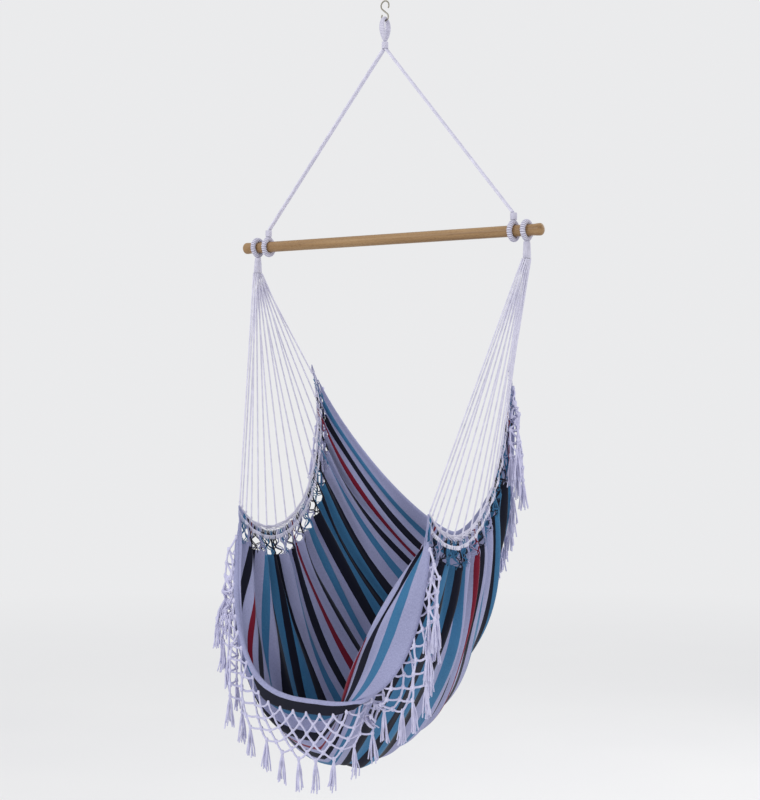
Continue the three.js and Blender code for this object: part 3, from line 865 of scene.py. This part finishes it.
def twisted_cord(name, node_name, body, start, end, radius, lay):
    """A straight laid cord: round strands twisted together, as one grooved skin."""
    pitch, strands, groove_depth = lay
    length = np.linalg.norm(end - start)
    count = int(length / CORD_STEP)
    path = start + (end - start) * np.linspace(0, 1, count)[:, None]
    tangent = unit(end - start)
    first = unit(np.cross(tangent, [0.0, 1.0, 0.0]))
    second = np.cross(tangent, first)
    turn = full_turn(strands * 4)
    groove = 1 - groove_depth * np.abs(np.cos(strands * turn / 2)) ** 2.5
    twist = 2 * np.pi * np.linspace(0, length / pitch, count) + rng.random() * 6
    angle = turn[None] + twist[:, None]
    ring = first * np.cos(angle)[..., None] + second * np.sin(angle)[..., None]
    size = radius * groove * 1.06
    mesher = Mesher()
    mesher.rings(path[:, None] + ring * size[None, :, None])
    cord = rope_piece(mesher, name, COTTON, node_name, body)


def fan_strings(side, side_name):
    for index in range(STRINGS):
        start, end = string_run(side, index)
        name = f"string_{side_name}_{index + 1:02d}"
        twisted_cord(f"seat_{name}", name, "seat", start, end, STRING_R, STRING_LAY)


def leg_cords(side, side_name):
    top = EYE_WHIP_FOOT_Z - LEG_CORD_GAP
    foot = BAR_Z + LOOP_REACH + YOKE_LOOP_WHIP_HEIGHT + LEG_CORD_GAP
    for i in (-1, 0, 1):
        start = np.array([side * LEG_CORD_TOP_X, i * LEG_CORD_SPACING, top])
        end = np.array([side * (YOKE_LOOP_X - 0.003), i * LEG_CORD_SPACING, foot])
        twisted_cord(f"yoke_cord_{side_name}_{i + 2}", f"leg_cord_{side_name}_{i + 2}", "yoke",
                     start, end, LEG_CORD_R, LEG_LAY)


# ---- bar, loops, whippings, eye and hook ----

def lathe(profile, sides):
    """A solid turned about X from (x, radius) pairs."""
    profile = np.array(profile, float)
    turn = full_turn(sides)
    rings = np.zeros((len(profile), sides, 3))
    rings[..., 0] = profile[:, :1]
    rings[..., 1] = profile[:, 1:] * np.cos(turn)
    rings[..., 2] = profile[:, 1:] * np.sin(turn)
    return rings


BAR_NOSE = 0.010
BAR_SHOULDER = [(0.034, 0), (0.030, 0.0001), (0.024, 0.0004), (0.020, 0.0009),
                (0.014, BAR_END_R - BAR_R), (BAR_NOSE, BAR_END_R - BAR_R)]


def spreader_bar():
    half = BAR_LENGTH / 2
    shoulder = [(half - back, BAR_R + swell) for back, swell in BAR_SHOULDER]
    nose = [(half - BAR_NOSE + BAR_NOSE * math.sin(a), BAR_END_R * math.cos(a))
            for a in np.linspace(0.15, 1.52, 9)]
    right = [(x, BAR_R) for x in np.linspace(0, half - 0.05, 14)] + shoulder + nose
    left = [(-x, r) for x, r in right[:0:-1]]
    mesher = Mesher()
    mesher.rings(lathe(left + right, 56) + np.array([0, 0, BAR_Z]))
    bar = mesher.build("turned_bar", BEECH)
    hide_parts("spreader_bar")
    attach(bar, "bar")


def ribbed_ring(centre_line, half_width, half_depth, ribs, rib_height):
    """A bound loop: a closed line wrapped with cotton, whose turns stand up as ribs. half_width
    goes along X, across the loop's plane. Returns its rings, and how deep each point lies between
    two turns, from 0 to 1."""
    wide = np.broadcast_to(ALONG_X, centre_line.shape)
    deep = np.cross(ring_tangents(centre_line), wide)
    turn = full_turn(18)
    place = np.arange(len(centre_line)) / len(centre_line)
    lean = place[:, None] * ribs + 0.12 * np.sin(turn)[None]
    groove = 1 - np.abs(np.sin(np.pi * lean)) ** 0.8
    rib = -rib_height * groove
    width = half_width[:, None] + rib
    depth = half_depth[:, None] + rib
    rings = (centre_line[:, None] + wide[:, None] * (width * np.cos(turn))[..., None]
             + deep[:, None] * (depth * np.sin(turn))[..., None])
    return rings, groove


def bar_loop(x, side_name, kind, body, up):
    """A bound loop round the bar that closes up towards its whipping."""
    turn = full_turn(224)
    lift = np.cos(turn)
    pinch = 1 - 0.16 * smoothstep((lift - 0.2) / 0.8)
    line = np.stack([np.full(len(turn), x), LOOP_R * np.sin(turn) * pinch,
                     BAR_Z + up * LOOP_R * lift * (1 + 0.05 * np.maximum(lift, 0) ** 3)], -1)
    size = np.full(len(turn), LOOP_ROPE_R)
    rings, groove = ribbed_ring(line, size * 1.08, size, 28, 0.0017)
    mesher = Mesher()
    # UV x carries the painted shade in the grooves between the turns
    mesher.rings(rings, closed=True, u=groove)
    rope_piece(mesher, f"bound_{kind}_{side_name}", BOUND_COTTON, f"{kind}_{side_name}", body)


WHIP_TOP_R = 0.0095
WHIP_PITCH = 0.0024
EYE_WHIP_PITCH = 0.0022
ROUND_FOOT = (0.0095, 0.0095)
FAN_FOOT = (0.0085, 0.016)


def whipping(name, x, top, height, foot_size, pitch, node_name, body, lobes=0):
    """Tight turns of twine round a bundle, from a round top down to a foot of half sizes
    foot_size. lobes shows the cords of the bundle at its foot."""
    turns = height / pitch
    down = np.linspace(0, 1, int(turns * 7))[:, None]
    turn = full_turn(36)
    rib = np.abs(np.sin(np.pi * (turns * down + turn[None] / (2 * np.pi)))) ** 0.7
    swell = np.sin(np.pi * np.clip(down, 0.04, 0.96)) ** 0.25
    bundle = 0.07 * down * np.cos(lobes * turn)[None] if lobes else 0.0
    size_x, size_y = [(WHIP_TOP_R + (half - WHIP_TOP_R) * down) * (0.90 + 0.10 * swell + bundle)
                      - 0.0006 + 0.00055 * rib for half in foot_size]
    rings = np.stack([x + size_x * np.cos(turn), size_y * np.sin(turn),
                      np.broadcast_to(top - height * down, rib.shape)], -1)
    mesher = Mesher()
    # UV x carries the painted shade in the grooves between the turns
    mesher.rings(rings, u=0.7 * (1 - rib))
    rope_piece(mesher, name, BOUND_COTTON, node_name, body)


def rope_eye():
    turn = full_turn(260)
    lift = np.cos(turn)
    width = EYE_HALF_WIDTH * (0.78 + 0.22 * lift)
    line = np.stack([0 * turn, width * np.sin(turn),
                     (EYE_TOP + EYE_BOTTOM) / 2 + EYE_LENGTH / 2 * lift], -1)
    cheek = EYE_ROPE_R + (EYE_CHEEK_R - EYE_ROPE_R) * np.sin(turn) ** 2
    rings, groove = ribbed_ring(line, cheek, np.full(len(turn), EYE_ROPE_R), 46, 0.0008)
    mesher = Mesher()
    # UV x carries a lighter painted shade in the grooves between the turns
    mesher.rings(rings, closed=True, u=groove * 0.6)
    rope_piece(mesher, "bound_eye", BOUND_COTTON, "rope_eye", "eye")


def s_hook():
    """Two bends of wire, joined by the straight stretch between their nearest ends."""
    slant = math.acos((HOOK_UPPER_R + HOOK_LOWER_R) / HOOK_LOWER_DROP)
    tip = math.pi / 6
    upper = np.linspace(-tip, 1.5 * math.pi - slant, 70)
    lower = np.linspace(math.pi / 2 - slant, -math.pi - tip, 60)
    bends = [np.stack([r * np.cos(turn), 0 * turn, z + r * np.sin(turn)], -1)
             for r, z, turn in ((HOOK_UPPER_R, HOOK_UPPER_Z, upper),
                                (HOOK_LOWER_R, HOOK_LOWER_Z, lower))]
    mesher = Mesher()
    mesher.tube(resampled(np.concatenate(bends), 180), HOOK_WIRE_R, sides=20)
    hook = mesher.build("wire_hook", STEEL)
    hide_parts("s_hook")
    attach(hook, "hook")


# ---- knotted net fringes ----

NET_ROWS = 5
FRONT_CELLS = 29
BACK_CELLS = 27
NET_SIDE = 0.033           # of a cell, along its cord
CELL_WIDTH = 0.024         # that cells keep open at least
CELL_HEIGHT = 0.022
NET_CORD_R = 0.0028
KNOT_R = NET_CORD_R * 1.8
NET_CLEARANCE = 0.0065     # between the cloth's middle and a cord's
NET_SEARCH = 0.06          # how far a falling knot looks for the cloth
CORD_SEARCH = 0.02
NET_END_ROWS = 2           # of the hem, that the net leaves free at each end
TASSEL_LENGTH = 0.082
TASSEL_STEPS = 4
TASSEL_THREADS = 11
TASSEL_THREAD_R = 0.0019
TASSEL_TWINE_R = 0.0009
FALL_STEPS = 160
PULL_STEPS = 12
FALL = DOWN * 0.0009       # what gravity adds to a step
DRAG = 0.92


def hang_net(edge, outward, tree):
    """Lets a diamond net fall from points along a hem. Each row's knots lie between those of the
    row above. Returns the knots, the net's cords and the tassels' chains as point numbers."""
    points = list(edge)
    leads = list(outward)
    rows = [list(range(len(edge)))]
    links = []
    for row in range(1, NET_ROWS + 1):
        above = rows[-1]
        here = []
        for a, b in zip(above, above[1:]):
            number = len(points)
            lead = unit(leads[a] + leads[b])
            points.append((points[a] + points[b]) / 2 + DOWN * NET_SIDE * 0.75 + lead * 0.004)
            leads.append(lead)
            links += [(a, number, NET_SIDE), (b, number, NET_SIDE)]
            here.append(number)
        if row % 2 == 0:    # the outermost half cells keep the net as wide as the hem
            for end, at in ((above[0], 0), (above[-1], len(here))):
                links.append((end, len(points), NET_SIDE))
                here.insert(at, len(points))
                points.append(points[end] + DOWN * NET_SIDE + leads[end] * 0.003)
                leads.append(leads[end])
        rows.append(here)
    chains = []
    for bottom in rows[-1]:
        chain = [bottom]
        for _ in range(TASSEL_STEPS):
            links.append((chain[-1], len(points), TASSEL_LENGTH / TASSEL_STEPS))
            points.append(points[chain[-1]] + DOWN * TASSEL_LENGTH / TASSEL_STEPS)
            chain.append(len(points) - 1)
        chains.append(chain)
    struts = [(a, b, CELL_WIDTH) for row in rows for a, b in zip(row, row[1:])]
    struts += [(a, b, CELL_HEIGHT) for above, below in zip(rows, rows[2:])
               for a, b in zip(above, below)]
    return settle(points, links, struts, len(edge), tree), links, rows, chains


def settle(points, links, struts, fixed, tree):
    """Gravity, cords that don't stretch, cells that don't quite close, and cloth that the net
    can't pass. The first points, as many as fixed says, stay where they are."""
    here = np.array(points)
    before = here.copy()
    both = links + struts
    a, b, rest = (np.array(column) for column in zip(*both))
    is_cord = (np.arange(len(both)) < len(links))[:, None]
    heavy = np.bincount(a, minlength=len(here)) + np.bincount(b, minlength=len(here))
    for step in range(FALL_STEPS):
        moved = here + (here - before) * DRAG + FALL
        before = here
        here = moved
        here[:fixed] = before[:fixed]
        for _ in range(PULL_STEPS):
            gap = here[b] - here[a]
            length = np.linalg.norm(gap, axis=1, keepdims=True)
            longer = length > rest[:, None]
            stretch = np.where(is_cord, np.where(longer, 1.0, 0.3), np.where(longer, 0.0, 0.5))
            pull = gap * (1 - rest[:, None] / np.maximum(length, 1e-9)) * stretch
            change = np.zeros_like(here)
            np.add.at(change, a, pull * 0.5)
            np.add.at(change, b, -pull * 0.5)
            change = change / np.maximum(heavy, 1)[:, None] * 1.7
            change[:fixed] = 0
            here = here + change
        if step % 2 == 0:
            here[fixed:] = outside_cloth(here[fixed:], tree, NET_SEARCH)
    return here


def outside_cloth(points, tree, search):
    """Moves points that are inside the seat, or nearer to it than the clearance, back outside."""
    moved = np.array(points)
    for i, point in enumerate(moved):
        near, normal, _, _ = tree.find_nearest(Vector(point), search)
        if near is None:
            continue
        outside = np.array(normal)
        offset = point - np.array(near)
        height = offset.dot(outside)
        if height < 0 or np.linalg.norm(offset) < NET_CLEARANCE:
            moved[i] = point + outside * (NET_CLEARANCE - height)
    return moved


def seat_tree():
    """The cloth's middle surface for the nets to lie on, with faces turned outwards."""
    surface = seat_points[::2, OPEN_ROWS:-OPEN_ROWS:2]
    rows, columns = surface.shape[:2]
    index = np.arange(rows * columns).reshape(rows, columns)
    return BVHTree.FromPolygons([Vector(p) for p in surface.reshape(-1, 3)], grid_faces(index))


def net_fringe(name, node_name, hem, cells, tree):
    """A net of knotted cotton below a hem, with a tassel under each bottom knot."""
    netted = slice(OPEN_ROWS + NET_END_ROWS, -OPEN_ROWS - NET_END_ROWS)
    hem_edge = hem[-1][netted]
    lead = unit(hem[-1] - hem[-4])[netted]
    reach = run_lengths(hem_edge)
    wanted = np.linspace(0.004, reach[-1] - 0.004, cells + 1)
    edge = at_lengths(hem_edge, wanted)
    outward = unit(np.stack([np.interp(wanted, reach, lead[:, k]) for k in range(3)], -1))
    edge = edge + outward * 0.001
    here, links, rows, chains = hang_net(edge, outward, tree)
    mesher = Mesher()
    in_tassel = {number for chain in chains for number in chain[1:]}
    for a, b, rest in links:
        if b in in_tassel:
            continue
        start, end = here[a], here[b]
        slack = max(rest - np.linalg.norm(end - start), 0.0)
        sag = DOWN * (0.10 * rest + 0.5 * math.sqrt(rest * slack)) * 0.5
        wobble = rng.normal(0, 0.0008, 3)
        path = smooth_curve([start, (start + end) / 2 + sag + wobble, end], 7)
        path = outside_cloth(path, tree, CORD_SEARCH)
        mesher.tube(path, NET_CORD_R * rng.uniform(0.88, 1.1))
    for row in rows:
        for number in row:
            knot(mesher, here[number])
    for chain in chains:
        tassel(mesher, here[chain], tree)
    fringe = mesher.build(name, NET_COTTON)
    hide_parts(node_name)
    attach(fringe, "seat")
    return fringe


def knot(mesher, centre):
    """A small lumpy ball, taller than wide."""
    turn = full_turn(7)
    lumps = rng.uniform(0.85, 1.15, (4, 7))
    rings = []
    for level, lump in zip((-0.8, -0.3, 0.3, 0.8), lumps):
        wide = math.sqrt(1 - level * level) * KNOT_R
        rings.append(np.stack([wide * lump * np.cos(turn), wide * lump * np.sin(turn),
                               np.full(7, level * KNOT_R * 1.6)], -1) + centre)
    mesher.rings(np.array(rings))


def tassel(mesher, chain, tree):
    """Loose threads that hang from a knot and spread a little, bound by two turns of twine."""
    for _ in range(TASSEL_THREADS):
        angle = rng.uniform(0, 2 * np.pi)
        splay = np.array([math.cos(angle), math.sin(angle), 0]) * rng.uniform(0.003, 0.015)
        length = rng.uniform(0.8, 1.04)
        path = []
        for i, point in enumerate(chain):
            share = i / (len(chain) - 1)
            path.append(chain[0] + (point - chain[0]) * length + splay * share ** 0.7
                        + rng.normal(0, 0.0011, 3) * share)
        path = outside_cloth(smooth_curve(path, 9), tree, CORD_SEARCH)
        mesher.tube(path, TASSEL_THREAD_R, sides=5)
    turn = full_turn(9)
    for drop in (0.005, 0.008):
        centre = chain[0] + unit(chain[1] - chain[0]) * drop
        ring = centre + np.stack([np.cos(turn), np.sin(turn), 0 * turn], -1) * 0.0021
        mesher.loop(ring, TASSEL_TWINE_R, sides=5)


# ---- assembly ----

for side, side_name in ((-1, "left"), (1, "right")):
    leg_cords(side, side_name)
    fan_strings(side, side_name)
    threads, thread_normals = openwork(side, side_name)
    woven_band(side_name, threads, thread_normals)
    string_ends(side, side_name, threads)
    bar_loop(side * YOKE_LOOP_X, side_name, "yoke_loop", "yoke", 1)
    bar_loop(side * SEAT_LOOP_X, side_name, "seat_loop", "seat", -1)
    whipping(f"yoke_loop_binding_{side_name}", side * YOKE_LOOP_X,
             BAR_Z + LOOP_REACH + YOKE_LOOP_WHIP_HEIGHT, YOKE_LOOP_WHIP_HEIGHT, ROUND_FOOT,
             WHIP_PITCH, f"yoke_loop_whipping_{side_name}", "yoke")
    whipping(f"seat_loop_binding_{side_name}", side * SEAT_LOOP_X, BAR_Z - LOOP_REACH,
             SEAT_WHIP_HEIGHT, FAN_FOOT, WHIP_PITCH, f"seat_loop_whipping_{side_name}", "seat",
             lobes=9)
spreader_bar()
rope_eye()
s_hook()
whipping("eye_binding", 0, EYE_WHIP_TOP_Z, EYE_WHIP_HEIGHT, ROUND_FOOT, EYE_WHIP_PITCH,
         "eye_whipping", "yoke")

tree = seat_tree()
front_net = net_fringe("front_net", "front_fringe", front_hem, FRONT_CELLS, tree)
back_net = net_fringe("back_net", "back_fringe", back_hem, BACK_CELLS, tree)
